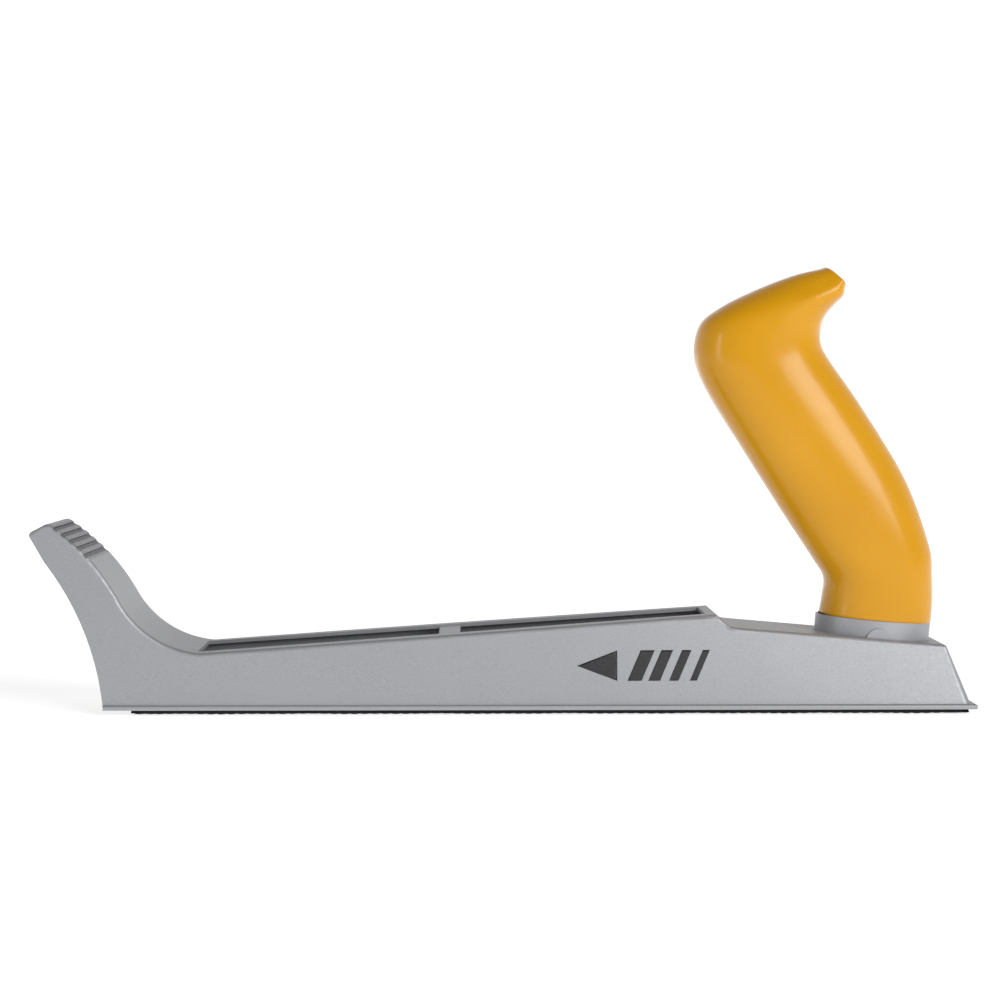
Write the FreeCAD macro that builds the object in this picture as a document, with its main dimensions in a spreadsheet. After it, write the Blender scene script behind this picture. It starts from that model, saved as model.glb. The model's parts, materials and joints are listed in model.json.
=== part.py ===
import FreeCAD, Part
import math
import os
import Sketcher

# A rasp plane: a hollow die-cast body with a front horn and two chip windows, a perforated
# blade pulled tight under the sole by a hook and a thumb nut, and a moulded rear handle that
# turns on a steel spigot in an oval collar.
#
# Row frame: X runs along the plane (horn at -X, handle at +X), Z is up, the teeth touch Z = 0,
# and the origin is the middle of the bounding box's bottom.

V = FreeCAD.Vector
ON_FACE = 0.1        # how near, in mm, an edge counts as lying on a face
SHORTEST_EDGE = 0.5  # edges shorter than this, in mm, are never rounded

DIMENSIONS = {
    # casting, seen from the side
    "tip_low_x": -141.2, "tip_low_z": 53.9, "tip_high_x": -135.2, "tip_high_z": 57.1,
    "ramp_turn_x": -114.2, "ramp_turn_z": 34.7, "ramp_end_x": -90.0, "ramp_end_z": 18.55,
    "ramp_crown_radius": 64.0, "ramp_hollow_radius": 30.0,
    "ridge_x": 63.9, "ridge_z": 29.5, "ridge_foot_x": 67.9, "ridge_foot_z": 25.9,
    "deck_start_x": 70.0, "deck_start_z": 25.55, "deck_end_x": 133.0, "deck_end_z": 20.2,
    "tail_x": 140.2, "sole_z": 1.6, "foot_front_x": -118.6,
    "notch_x": -136.1, "notch_z": 45.4, "throat_radius": 82.0,
    # casting, seen from above: half widths at the sole and at the envelope's top
    "envelope_floor": -4.0, "envelope_top": 60.0,
    "sole_tip": 21.5, "sole_ramp": 21.5, "sole_ridge": 22.0, "sole_tail": 22.6,
    "half_tip": 16.8, "half_ramp": 20.2, "half_ridge": 11.4, "half_tail": 2.5,
    "station_tip": -146.0, "station_ramp": -95.0, "station_ridge": 63.9, "station_tail": 146.0,
    "wall": 2.2, "skin": 1.2, "plate": 2.0,
    "edge_round": 1.2, "tail_foot_round": 2.4, "tip_round": 2.2,
    # rim round the sole
    "rim_half": 22.2, "rim_thickness": 1.5, "rim_end_x": 141.2, "rim_round": 0.6,
    # inside of the casting; cutters start below the sole and run through the faces they open
    "below": -3.0, "through": 1.0,
    "bulkhead_front_x": -109.5, "bulkhead_back_x": -106.5, "roof_front_x": -92.0,
    "bulkhead_slant_x": 4.0, "bulkhead_slant_z": 3.0,
    "tail_inner_low_x": 139.4, "tail_inner_high_x": 131.4,
    "throat_wall_z": 22.6, "throat_low_x": -113.6, "throat_low_z": 29.2,
    "throat_middle_x": -117.2, "throat_middle_z": 36.0, "throat_high_x": -124.0,
    "throat_top_z": 44.8, "throat_front_x": -146.2,
    "rebate_half": 19.5, "rebate_top": 4.1, "rebate_front_x": -111.5, "rebate_end_x": 137.6,
    # chip windows in the top plate
    "window_front_x": -91.1, "bar_front_x": -19.2, "bar_back_x": -12.8, "window_back_x": 61.0,
    "rim_flat": 5.2, "window_low": 8.0, "bar_drop": 0.5,
    # thumb pad on the horn
    "groove_count": 5, "groove_pitch": 3.0, "groove_width": 1.5, "groove_depth": 0.4,
    "groove_start": 2.3,
    # collar on the deck; heights run along its axis from the deck's surface
    "collar_x": 113.0, "collar_major": 17.5, "collar_minor": 13.5, "collar_height": 5.2,
    "collar_root": 5.0, "bore_radius": 8.0, "boss_radius": 12.0, "boss_depth": 9.0,
    "near_lug_radius": 3.9, "near_lug_height": -0.9, "far_lug_radius": 3.7,
    "far_lug_height": 1.4, "lug_reach": 14.0, "lock_height": 2.1,
    # blade
    "blade_front_x": -110.7, "blade_length": 250.0, "blade_half": 19.3, "blade_sheet": 1.0,
    "blade_edge_low": 0.2, "blade_edge_height": 3.9, "blade_edge_sheet": 0.8, "tab_half": 8.0,
    "slot_pitch_x": 4.6, "slot_pitch_y": 4.4, "slot_length": 2.9, "slot_width": 1.3,
    "slot_slant": 32.0, "slot_rows": 8, "slot_margin": 7.0, "rear_tab_x": 135.25,
    "blade_edge_end_x": 137.2,
    # blade tensioner
    "stud_z": 12.0, "stud_radius": 2.5, "stud_front_x": -119.0, "screw_gap": 0.05,
    "claw_x": -98.0, "claw_sheet": 2.5, "claw_half": 6.0, "claw_bottom": 1.8, "claw_top": 16.0,
    "claw_foot_top": 3.8, "claw_foot_x": -109.8, "stud_hole_radius": 2.8,
    "nut_radius": 7.5, "nut_length": 6.2, "nut_hub_radius": 4.6, "nut_front_step": 0.8,
    "nut_back_step": 1.0, "knurl_count": 36, "knurl_radius": 0.42, "knurl_proud": 0.1,
    "thrust_radius": 6.2, "thrust_thickness": 1.0, "rivet_washer_radius": 3.9,
    "rivet_washer_thickness": 1.0, "rivet_head_radius": 3.6, "rivet_head_length": 1.2,
    "spring_radius": 3.6, "spring_wire": 0.45, "spring_gap": 0.1,
    # rear catch
    "catch_half": 7.0, "catch_sheet": 1.8, "catch_front_x": 124.4, "catch_back_x": 135.2,
    "catch_top": 7.4, "catch_bottom": 1.8, "catch_screw_x": 128.6, "catch_screw_y": 4.0,
    "catch_screw_radius": 2.0, "catch_hole_gap": 0.2, "catch_head_radius": 3.5,
    "catch_head_height": 2.2, "screw_slot_half": 0.5, "screw_slot_depth": 0.9,
    "catch_screw_length": 9.0, "catch_block_front_x": 124.6, "catch_block_back_x": 133.0,
    "catch_block_half": 9.0, "catch_block_top": 19.0,
    # handle pivot; heights run along the collar's axis from the deck's surface
    "spigot_radius": 7.95, "shank_radius": 6.0, "shank_top": 29.7, "spigot_end": -9.1,
    "groove_radius": 6.4, "groove_half": 2.3, "tapped_radius": 3.0, "tapped_depth": 15.0,
    "pin_radius": 1.5, "pin_half": 9.0, "pin_height": 20.0, "trim_depth": 6.0,
    "trim_margin": 8.0,
    "washer_gap": 0.05, "friction_thickness": 0.45, "friction_major": 16.7,
    "friction_minor": 12.9,
    "flat_washer_radius": 10.4, "flat_washer_thickness": 1.6, "spring_washer_radius": 5.6,
    "spring_washer_thickness": 1.5, "bolt_head_radius": 5.7, "bolt_head_height": 3.8,
    "bolt_length": 13.0,
    # lock screw and its pad, in the far side of the collar
    "lock_radius": 2.0, "lock_hole_radius": 2.05, "pad_tip_y": 6.45, "pad_end_y": 9.0,
    "lock_end_y": 13.4, "hex_socket": 2.0, "socket_depth": 2.0,
}

# Cross-sections of the grip from its base to the beak:
# front X, front Z, back X, back Z, half thickness.
GRIP_SECTIONS = [
    (97.0, 29.15, 131.0, 26.25, 13.7),
    (98.4, 36.0, 131.2, 35.0, 14.0),
    (96.2, 44.0, 130.6, 46.6, 14.3),
    (84.8, 60.6, 121.4, 71.8, 14.6),
    (72.6, 79.8, 109.2, 91.6, 14.6),
    (62.3, 96.5, 99.6, 105.2, 14.6),
    (58.5, 110.0, 96.5, 112.6, 14.4),
    (63.5, 119.7, 97.6, 118.4, 13.8),
    (72.6, 124.8, 99.6, 121.4, 12.6),
    (84.8, 130.2, 101.9, 123.7, 8.4),
    (95.5, 133.2, 104.2, 127.0, 5.0),
]

doc = FreeCAD.newDocument("RaspPlane")
sheet = doc.addObject("Spreadsheet::Sheet", "Dimensions")


def fill_sheet():
    """Write every driving dimension into its own cell, with an alias."""
    rows = list(DIMENSIONS.items())
    for number, section in enumerate(GRIP_SECTIONS):
        for word, value in zip(("front_x", "front_z", "back_x", "back_z", "half"), section):
            rows.append((f"grip_{word}_{number}", value))
    for row, (alias, value) in enumerate(rows, start=1):
        sheet.set(f"A{row}", alias)
        sheet.set(f"B{row}", str(value))
        sheet.setAlias(f"B{row}", alias)
    doc.recompute()


def size(alias):
    """A driving dimension's value, read from the sheet."""
    return float(sheet.get(alias))


def bind(thing, **expressions):
    """Bind properties to sheet cells; a double underscore stands for a dot."""
    for name, expression in expressions.items():
        thing.setExpression(name.replace("__", "."), cells(expression))
    return thing


def cells(expression):
    """Put the sheet's name in front of every alias of an expression."""
    words = []
    word = ""
    for letter in expression + " ":
        if letter.isalnum() or letter in "_.":
            word += letter
            continue
        known = word in DIMENSIONS or word.startswith("grip_")
        words.append(("Dimensions." + word if known else word) + letter)
        word = ""
    return "".join(words).strip()


# ---------------------------------------------------------------- sketch helpers

def origin_plane(body, role):
    """One of a body's own origin planes, found by its role."""
    for feature in body.Origin.OriginFeatures:
        if feature.Role == role:
            return feature
    raise ValueError(role)


def plane_sketch(body, name, role):
    """A sketch attached to one of its own body's origin planes."""
    sketch = body.newObject("Sketcher::SketchObject", name)
    sketch.AttachmentSupport = [(origin_plane(body, role), "")]
    sketch.MapMode = "FlatFace"
    return sketch


def draw_outline(sketch, corners):
    """Draw a closed outline and tie it to the sheet.

    Each corner is (x alias, y alias) or (x alias, y alias, radius alias, side), where the
    radius makes the stretch from this corner to the next an arc, and side is +1 when its
    centre is on the left of that stretch.
    """
    places = [V(number(corner[0]), number(corner[1]), 0) for corner in corners]
    for index, corner in enumerate(corners):
        start = places[index]
        end = places[(index + 1) % len(places)]
        if len(corner) == 2:
            sketch.addGeometry(Part.LineSegment(start, end), False)
        else:
            sketch.addGeometry(arc_between(start, end, number(corner[2]), corner[3]), False)
    count = len(corners)
    for index, corner in enumerate(corners):
        start_end, next_start = ends(corner)[1], ends(corners[(index + 1) % count])[0]
        sketch.addConstraint(Sketcher.Constraint("Coincident", index, start_end,
                                                 (index + 1) % count, next_start))
    for index, corner in enumerate(corners):
        point = ends(corner)[0]
        for kind, value, expression in (("DistanceX", places[index].x, corner[0]),
                                        ("DistanceY", places[index].y, corner[1])):
            tie(sketch, Sketcher.Constraint(kind, -1, 1, index, point, value), expression)
        if len(corner) == 4:
            tie(sketch, Sketcher.Constraint("Radius", index, number(corner[2])), corner[2])
    return sketch


def ends(corner):
    """Which of a stretch's points is its start and which its end."""
    clockwise = len(corner) == 4 and corner[3] < 0
    return (2, 1) if clockwise else (1, 2)


def number(word):
    """The value of an alias, or of an alias with a minus sign or an offset."""
    for sign in ("+", "-"):
        place = word.rfind(sign)
        if place > 0:
            offset = number(word[place + 1:])
            return number(word[:place]) + (offset if sign == "+" else -offset)
    if word.startswith("-"):
        return -number(word[1:])
    return size(word) if word in DIMENSIONS else float(word)


def tie(sketch, constraint, expression):
    """Add a constraint whose value comes from the sheet."""
    index = sketch.addConstraint(constraint)
    sketch.setExpression(f"Constraints[{index}]", cells(expression))


def arc_between(start, end, radius, side):
    """The short arc of a given radius between two points."""
    chord = end - start
    half = chord.Length / 2
    middle = (start + end) * 0.5
    left = V(-chord.y, chord.x, 0).normalize()
    centre = middle + left * (side * math.sqrt(radius ** 2 - half ** 2))
    circle = Part.Circle(centre, V(0, 0, 1), radius)
    first = math.atan2(start.y - centre.y, start.x - centre.x)
    last = math.atan2(end.y - centre.y, end.x - centre.x)
    if side < 0:
        first, last = last, first
    if last < first:
        last += 2 * math.pi
    return Part.ArcOfCircle(circle, first, last)


# ---------------------------------------------------------------- solid helpers

def extruded_body(label, corners, half):
    """A body padded both ways from an outline on its own upright middle plane."""
    body = doc.addObject("PartDesign::Body", label)
    sketch = draw_outline(plane_sketch(body, label + "_outline", "XZ_Plane"), corners)
    pad = body.newObject("PartDesign::Pad", label + "_pad")
    pad.Profile = sketch
    pad.Midplane = True
    bind(pad, Length=f"2 * {half}")
    sketch.Visibility = False
    return body


def box(label, low, high):
    """A box between two corners, each given as three expressions."""
    block = doc.addObject("Part::Box", label)
    bind(block, Placement__Base__x=low[0], Placement__Base__y=low[1],
         Placement__Base__z=low[2], Length=f"({high[0]}) - ({low[0]})",
         Width=f"({high[1]}) - ({low[1]})", Height=f"({high[2]}) - ({low[2]})")
    return block


AXIS_TURNS = {"x": (V(0, 1, 0), 90), "y": (V(1, 0, 0), -90), "z": (V(0, 0, 1), 0)}


def rod(label, axis, start, radius, length):
    """A cylinder along X, Y or Z from a start point given as three expressions."""
    part = doc.addObject("Part::Cylinder", label)
    turn_axis, turn = AXIS_TURNS[axis]
    part.Placement = FreeCAD.Placement(V(), FreeCAD.Rotation(turn_axis, turn))
    bind(part, Radius=radius, Height=length, Placement__Base__x=start[0],
         Placement__Base__y=start[1], Placement__Base__z=start[2])
    return part


def deck_slope():
    """The deck's slope below the horizontal, in degrees."""
    fall = size("deck_start_z") - size("deck_end_z")
    return math.degrees(math.atan2(fall, size("deck_end_x") - size("deck_start_x")))


def on_collar(thing, height="0", across="0"):
    """Stand a thing on the collar's axis, a height above the deck's surface."""
    slope = "(deck_start_z - deck_end_z) / (deck_end_x - deck_start_x)"
    foot_z = f"(deck_start_z - (collar_x - deck_start_x) * {slope})"
    thing.Placement = FreeCAD.Placement(V(), FreeCAD.Rotation(V(0, 1, 0), deck_slope()))
    bind(thing, Placement__Base__x=f"collar_x + ({height}) * sin(atan({slope}))",
         Placement__Base__z=f"{foot_z} + ({height}) * cos(atan({slope}))",
         Placement__Base__y=across)
    return thing


def collar_rod(label, low, high, radius):
    """A cylinder on the collar's axis between two heights."""
    part = doc.addObject("Part::Cylinder", label)
    bind(part, Radius=radius, Height=f"({high}) - ({low})")
    return on_collar(part, low)


def collar_oval(label, low, high, major, minor):
    """An oval column on the collar's axis between two heights."""
    ellipse = doc.addObject("Part::Ellipse", label + "_edge")
    bind(ellipse, MajorRadius=major, MinorRadius=minor)
    on_collar(ellipse, low)
    column = doc.addObject("Part::Extrusion", label)
    column.Base = ellipse
    column.DirMode = "Normal"
    column.Solid = True
    bind(column, LengthFwd=f"({high}) - ({low})")
    return column


def cross_rod(label, height, start, end, radius):
    """A cylinder across the plane, through the collar's axis at a height."""
    part = doc.addObject("Part::Cylinder", label)
    bind(part, Radius=radius, Height=f"({end}) - ({start})")
    on_collar(part, height, start)
    part.Placement.Rotation = FreeCAD.Rotation(V(1, 0, 0), -90)
    return part


def fuse(label, *parts):
    union = doc.addObject("Part::MultiFuse", label)
    union.Shapes = list(parts)
    return union


def cut(label, base, *tools):
    """The base with every tool taken away."""
    tool = tools[0] if len(tools) == 1 else fuse(label + "_tools", *tools)
    result = doc.addObject("Part::Cut", label)
    result.Base = base
    result.Tool = tool
    return result


def named(thing, label):
    thing.Label = label
    return thing


# ---------------------------------------------------------------- the casting

def envelope(label, inset):
    """A tapering block that gives the casting its leaning sides."""
    loft = doc.addObject("Part::Loft", label)
    sections = []
    for name in ("tip", "ramp", "ridge", "tail"):
        sketch = doc.addObject("Sketcher::SketchObject", f"{label}_{name}")
        sketch.Placement = FreeCAD.Placement(V(), FreeCAD.Rotation(0.5, 0.5, 0.5, 0.5))
        bind(sketch, Placement__Base__x=f"station_{name}")
        draw_outline(sketch, [(f"-sole_{name}+{inset}", "envelope_floor"),
                              (f"sole_{name}-{inset}", "envelope_floor"),
                              (f"half_{name}-{inset}", "envelope_top"),
                              (f"-half_{name}+{inset}", "envelope_top")])
        sections.append(sketch)
    loft.Sections = sections
    loft.Solid = True
    loft.Ruled = False
    return loft


def common(label, first, second):
    result = doc.addObject("Part::MultiCommon", label)
    result.Shapes = [first, second]
    return result


def body_casting():
    """The hollow casting with its horn, windows, ridge, deck and collar."""
    silhouette = extruded_body("casting_silhouette", [
        ("foot_front_x", "sole_z"),
        ("tail_x", "sole_z"),
        ("deck_end_x", "deck_end_z"),
        ("deck_start_x", "deck_start_z"),
        ("ridge_foot_x", "ridge_foot_z"),
        ("ridge_x", "ridge_z"),
        ("ramp_end_x", "ramp_end_z", "ramp_hollow_radius", -1),
        ("ramp_turn_x", "ramp_turn_z", "ramp_crown_radius", 1),
        ("tip_high_x", "tip_high_z"),
        ("tip_low_x", "tip_low_z"),
        ("notch_x", "notch_z", "throat_radius", -1),
    ], "rim_half")
    outer = common("casting_outer", silhouette, envelope("casting_envelope", "0"))
    outer = rounded("casting_rounded", outer)

    rim = sole_rim()
    collar = collar_oval("collar", "-collar_root", "collar_height", "collar_major",
                         "collar_minor")
    near_lug = cross_rod("near_lug", "near_lug_height", "-lug_reach", "0", "near_lug_radius")
    far_lug = cross_rod("far_lug", "far_lug_height", "0", "lug_reach", "far_lug_radius")

    chamber = extruded_body("chamber_silhouette", [
        ("bulkhead_back_x", "below"),
        ("tail_inner_low_x", "below"),
        ("tail_inner_high_x", "deck_end_z-plate"),
        ("deck_start_x-plate", "deck_start_z-plate"),
        ("ridge_x-plate", "ridge_z-skin"),
        ("roof_front_x", "ramp_end_z-skin"),
        ("bulkhead_back_x+bulkhead_slant_x", "ramp_end_z"),
        ("bulkhead_back_x", "ramp_end_z+bulkhead_slant_z"),
    ], "rim_half")
    throat = extruded_body("throat_silhouette", [
        ("throat_front_x", "below"),
        ("bulkhead_front_x", "below"),
        ("bulkhead_front_x", "throat_wall_z"),
        ("throat_low_x", "throat_low_z"),
        ("throat_middle_x", "throat_middle_z"),
        ("throat_high_x", "throat_top_z"),
        ("throat_front_x", "throat_top_z"),
    ], "rim_half")
    hollow = common("casting_hollow", fuse("hollow_silhouettes", chamber, throat),
                    envelope("hollow_envelope", "wall"))

    boss = collar_rod("pivot_boss", "-boss_depth", "-through", "boss_radius")
    block = box("catch_block", ("catch_block_front_x", "-catch_block_half", "catch_top"),
                ("catch_block_back_x", "catch_block_half", "catch_block_top"))
    inside = common("casting_inside", fuse("inside_blocks", boss, block), outer)

    rebate = box("blade_rebate", ("rebate_front_x", "-rebate_half", "below"),
                 ("rebate_end_x", "rebate_half", "rebate_top"))
    bore = collar_rod("collar_bore", "-2 * boss_depth", "collar_height + through", "bore_radius")
    stud_hole = rod("stud_hole", "x", ("bulkhead_front_x - through", "0", "stud_z"),
                    "stud_hole_radius", "bulkhead_back_x - bulkhead_front_x + 2 * through")
    lock_hole = cross_rod("lock_hole", "lock_height", "0", "lug_reach + through",
                          "lock_hole_radius")
    screw_holes = [rod(f"catch_hole_{side}", "z",
                       ("catch_screw_x", f"{side}catch_screw_y", "catch_top - through"),
                       "catch_screw_radius", "catch_screw_length") for side in ("", "-")]

    mass = fuse("casting_mass", outer, rim, collar, near_lug, far_lug)
    whole = fuse("casting_with_blocks", cut("casting_shell", mass, hollow), inside)
    result = cut("casting", whole, rebate, bore, stud_hole, lock_hole, bar_recess(), *windows(),
                 *screw_holes, *thumb_grooves())
    return named(result, "body_casting")


def sole_rim():
    """The flat rim round the sole, with its upper edges rounded."""
    blank = box("rim_blank", ("foot_front_x", "-rim_half", "sole_z"),
                ("rim_end_x", "rim_half", "sole_z + rim_thickness"))
    doc.recompute()
    outer_half, end_x = size("rim_half"), size("rim_end_x")
    edges = []
    for index, edge in enumerate(blank.Shape.Edges, start=1):
        span = edge.BoundBox
        on_end = abs(span.XMin - end_x) < ON_FACE
        on_side = abs(abs(span.YMin) - outer_half) < ON_FACE and span.YLength < ON_FACE
        level = span.ZLength < ON_FACE
        if level and (on_side or on_end):
            edges.append((index, size("rim_round"), size("rim_round")))
    fillet = doc.addObject("Part::Fillet", "sole_rim")
    fillet.Base = blank
    fillet.Edges = edges
    return fillet


def rounded(label, base):
    """Round the casting's long edges, its tail corners and the ends of its top."""
    doc.recompute()
    radius, foot_radius = size("edge_round"), size("tail_foot_round")
    ends_of_top = [(size("deck_end_x"), radius), (size("tip_low_x"), radius),
                   (size("tip_high_x"), size("tip_round"))]
    edges = []
    for index, edge in enumerate(base.Shape.Edges, start=1):
        span = edge.BoundBox
        on_side = span.YMin * span.YMax > 0 and edge.Length > SHORTEST_EDGE
        above_sole = span.ZMin > size("sole_z") + SHORTEST_EDGE
        behind_notch = span.XMax > size("notch_x") + ON_FACE
        crosses = span.YMin * span.YMax < 0 and span.ZLength < ON_FACE
        if on_side and above_sole and behind_notch:
            edges.append((index, radius, radius))
        elif on_side and span.XMin > size("deck_end_x") - radius and span.ZLength > radius:
            rising = edge.firstVertex().Point.z < edge.lastVertex().Point.z
            edges.append((index, foot_radius, radius) if rising
                         else (index, radius, foot_radius))
        elif crosses:
            edges += [(index, round_end, round_end) for place, round_end in ends_of_top
                      if abs(span.XMin - place) < ON_FACE]
    fillet = doc.addObject("Part::Fillet", label)
    fillet.Base = base
    fillet.Edges = edges
    return fillet


def top_at(x):
    """The height of the windowed top over a place along the plane."""
    rise = size("ridge_z") - size("ramp_end_z")
    return size("ramp_end_z") + (x - size("ramp_end_x")) / (
        size("ridge_x") - size("ramp_end_x")) * rise


def window_half(x):
    """Half a window's width at a place along the plane, inside the flat rim."""
    share = (x - size("station_ramp")) / (size("station_ridge") - size("station_ramp"))
    climb = (top_at(x) - size("envelope_floor")) / (size("envelope_top")
                                                    - size("envelope_floor"))
    halves = [size(f"sole_{name}") + (size(f"half_{name}") - size(f"sole_{name}")) * climb
              for name in ("ramp", "ridge")]
    return halves[0] + (halves[1] - halves[0]) * share - size("rim_flat")


def windows():
    """The two chip windows, which follow the body's taper."""
    cutters = []
    for name, front, back in (("front", "window_front_x", "bar_front_x"),
                              ("rear", "bar_back_x", "window_back_x")):
        cutters.append(tapered_block(f"window_{name}", size(front), size(back),
                                     size("window_low"), size("window_low")))
    return cutters


def bar_recess():
    """The shallow step that sets the bar between the windows below their rims."""
    front, back = size("bar_front_x") - size("through"), size("bar_back_x") + size("through")
    drop = size("bar_drop")
    return tapered_block("bar_recess", front, back, top_at(front) - drop, top_at(back) - drop)


def tapered_block(label, front, back, front_low, back_low):
    """A block between the window rims, from a floor up past the top.

    Its width changes with the body's own taper, so it is lofted directly between its ends.
    """
    high = size("ridge_z") + size("through")
    ends = []
    for x, low in ((front, front_low), (back, back_low)):
        half = window_half(x)
        ends.append(Part.makePolygon([V(x, -half, low), V(x, half, low), V(x, half, high),
                                      V(x, -half, high), V(x, -half, low)]))
    block = doc.addObject("Part::Feature", label)
    block.Shape = Part.makeLoft(ends, True, True)
    return block


def thumb_grooves():
    """Shallow grooves across the top of the horn, square to its slope."""
    start = V(size("tip_high_x"), 0, size("tip_high_z"))
    chord = V(size("ramp_turn_x"), 0, size("ramp_turn_z")) - start
    half_turn = math.asin(chord.Length / 2 / size("ramp_crown_radius"))
    heading = math.atan2(chord.z, chord.x) + half_turn
    grooves = []
    place = start
    for index in range(int(size("groove_count"))):
        step = size("groove_pitch" if index else "groove_start")
        half_bend = step / size("ramp_crown_radius") / 2
        heading -= half_bend
        place = place + V(math.cos(heading), 0, math.sin(heading)) * step
        heading -= half_bend
        groove = doc.addObject("Part::Box", f"thumb_groove_{index}")
        bind(groove, Length="groove_width", Width="2 * rim_half", Height="groove_depth + 2 * through")
        turn = FreeCAD.Rotation(V(0, 1, 0), -math.degrees(heading))
        corner = place + turn.multVec(V(0, -size("rim_half"), -size("groove_depth")))
        groove.Placement = FreeCAD.Placement(corner, turn)
        grooves.append(groove)
    return grooves


# ---------------------------------------------------------------- the blade

def rasp_blade():
    """A shallow channel of perforated sheet with upturned edges and end tabs."""
    front, length = size("blade_front_x"), size("blade_length")
    back, half = front + length, size("blade_half")
    outline = [V(front, -half, 0), V(back, -half, 0), V(back, half, 0), V(front, half, 0)]
    wires = [Part.makePolygon(outline + outline[:1])]
    wires += [slot(x, y) for x, y in slot_places(front, back)]
    face = Part.makeFace(wires, "Part::FaceMakerBullseye")
    sole = doc.addObject("Part::Feature", "blade_sole")
    sole.Shape = face.extrude(V(0, 0, size("blade_sheet")))

    pieces = [sole]
    for side, low, high in (("near", "-blade_half", "-blade_half + blade_edge_sheet"),
                            ("far", "blade_half - blade_edge_sheet", "blade_half")):
        pieces.append(box(f"blade_edge_{side}", ("blade_front_x", low, "blade_edge_low"),
                          ("blade_edge_end_x", high, "blade_edge_height")))
    for end, low, high in (
            ("front", "blade_front_x", "blade_front_x + blade_edge_sheet"),
            ("rear", "rear_tab_x", "rear_tab_x + blade_edge_sheet")):
        pieces.append(box(f"blade_tab_{end}", (low, "-tab_half", "blade_edge_low"),
                          (high, "tab_half", "blade_edge_height")))
    return named(fuse("blade", *pieces), "rasp_blade")


def slot_places(front, back):
    """The middles of the blade's slots: rows along X, every other column shifted."""
    pitch_x, pitch_y = size("slot_pitch_x"), size("slot_pitch_y")
    rows = int(size("slot_rows"))
    columns = int((back - front - 2 * size("slot_margin")) / pitch_x)
    for column in range(columns + 1):
        shift = pitch_y / 2 if column % 2 else 0
        for row in range(rows if column % 2 == 0 else rows - 1):
            yield (front + size("slot_margin") + column * pitch_x,
                   (row - (rows - 1) / 2) * pitch_y + shift)


def slot(x, y):
    """One slanted slot's outline."""
    long_half, short_half = size("slot_length") / 2, size("slot_width") / 2
    corners = [V(-long_half, -short_half, 0), V(long_half, -short_half, 0),
               V(long_half, short_half, 0), V(-long_half, short_half, 0)]
    wire = Part.makePolygon(corners + corners[:1])
    wire.rotate(V(), V(0, 0, 1), 90 - size("slot_slant"))
    wire.translate(V(x, y, 0))
    return wire


def rear_blade_catch():
    """A bent steel strip whose leg holds the blade's rear tab."""
    body = extruded_body("catch_strip", [
        ("catch_front_x", "catch_top-catch_sheet"),
        ("catch_back_x-catch_sheet", "catch_top-catch_sheet"),
        ("catch_back_x-catch_sheet", "catch_bottom"),
        ("catch_back_x", "catch_bottom"),
        ("catch_back_x", "catch_top"),
        ("catch_front_x", "catch_top"),
    ], "catch_half")
    holes = [rod(f"strip_hole_{side}", "z", ("catch_screw_x", f"{side}catch_screw_y", "0"),
                 "catch_screw_radius + catch_hole_gap", "catch_top + through")
             for side in ("", "-")]
    return named(cut("catch", body, *holes), "rear_blade_catch")


def catch_screw(label, place):
    """A cheese-head screw from below, at a place across the plane."""
    head_low = "catch_top - catch_sheet - catch_head_height"
    head = rod(f"{label}_head", "z", ("catch_screw_x", place, head_low), "catch_head_radius",
               "catch_head_height")
    shank = rod(f"{label}_shank", "z", ("catch_screw_x", place, head_low),
                "catch_screw_radius", "catch_screw_length")
    slot_cut = box(f"{label}_slot",
                   ("catch_screw_x - catch_head_radius - through",
                    f"({place}) - screw_slot_half", f"{head_low} - through"),
                   ("catch_screw_x + catch_head_radius + through",
                    f"({place}) + screw_slot_half", f"{head_low} + screw_slot_depth"))
    return named(cut(f"{label}_cut", fuse(f"{label}_blank", head, shank), slot_cut), label)


def catch_screw_left():
    return catch_screw("catch_screw_left", "-catch_screw_y")


def catch_screw_right():
    return catch_screw("catch_screw_right", "catch_screw_y")


# ---------------------------------------------------------------- the tensioner

def blade_hook():
    """An L-shaped claw: a plate on the stud and a foot that reaches forward to the tab."""
    body = extruded_body("claw", [
        ("claw_foot_x", "claw_bottom"),
        ("claw_x+claw_sheet", "claw_bottom"),
        ("claw_x+claw_sheet", "claw_top"),
        ("claw_x", "claw_top"),
        ("claw_x", "claw_foot_top"),
        ("claw_foot_x", "claw_foot_top"),
    ], "claw_half")
    hole = rod("claw_hole", "x", ("claw_x - through", "0", "stud_z"), "stud_radius",
               "claw_sheet + 2 * through")
    return named(cut("hook", body, hole), "blade_hook")


def hook_stud():
    """The threaded stud with its peened end behind the claw."""
    peen_start = "claw_x + claw_sheet + rivet_washer_thickness"
    shank = rod("stud_shank", "x", ("stud_front_x", "0", "stud_z"), "stud_radius",
                f"{peen_start} - stud_front_x")
    peen = rod("stud_peen", "x", (peen_start, "0", "stud_z"), "rivet_head_radius",
               "rivet_head_length")
    return named(fuse("stud", shank, peen), "hook_stud")


def ring(label, x, outer, inner, length):
    """A washer whose axis is the stud."""
    blank = rod(label + "_blank", "x", (x, "0", "stud_z"), outer, length)
    hole = rod(label + "_hole", "x", (f"{x} - through", "0", "stud_z"), inner,
               f"({length}) + 2 * through")
    return cut(label + "_ring", blank, hole)


def stud_rivet_washer():
    return named(ring("rivet_washer", "claw_x + claw_sheet", "rivet_washer_radius",
                      "stud_radius", "rivet_washer_thickness"), "stud_rivet_washer")


def thrust_washer():
    return named(ring("thrust", "bulkhead_front_x - thrust_thickness", "thrust_radius",
                      "stud_hole_radius", "thrust_thickness"), "thrust_washer")


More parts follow.
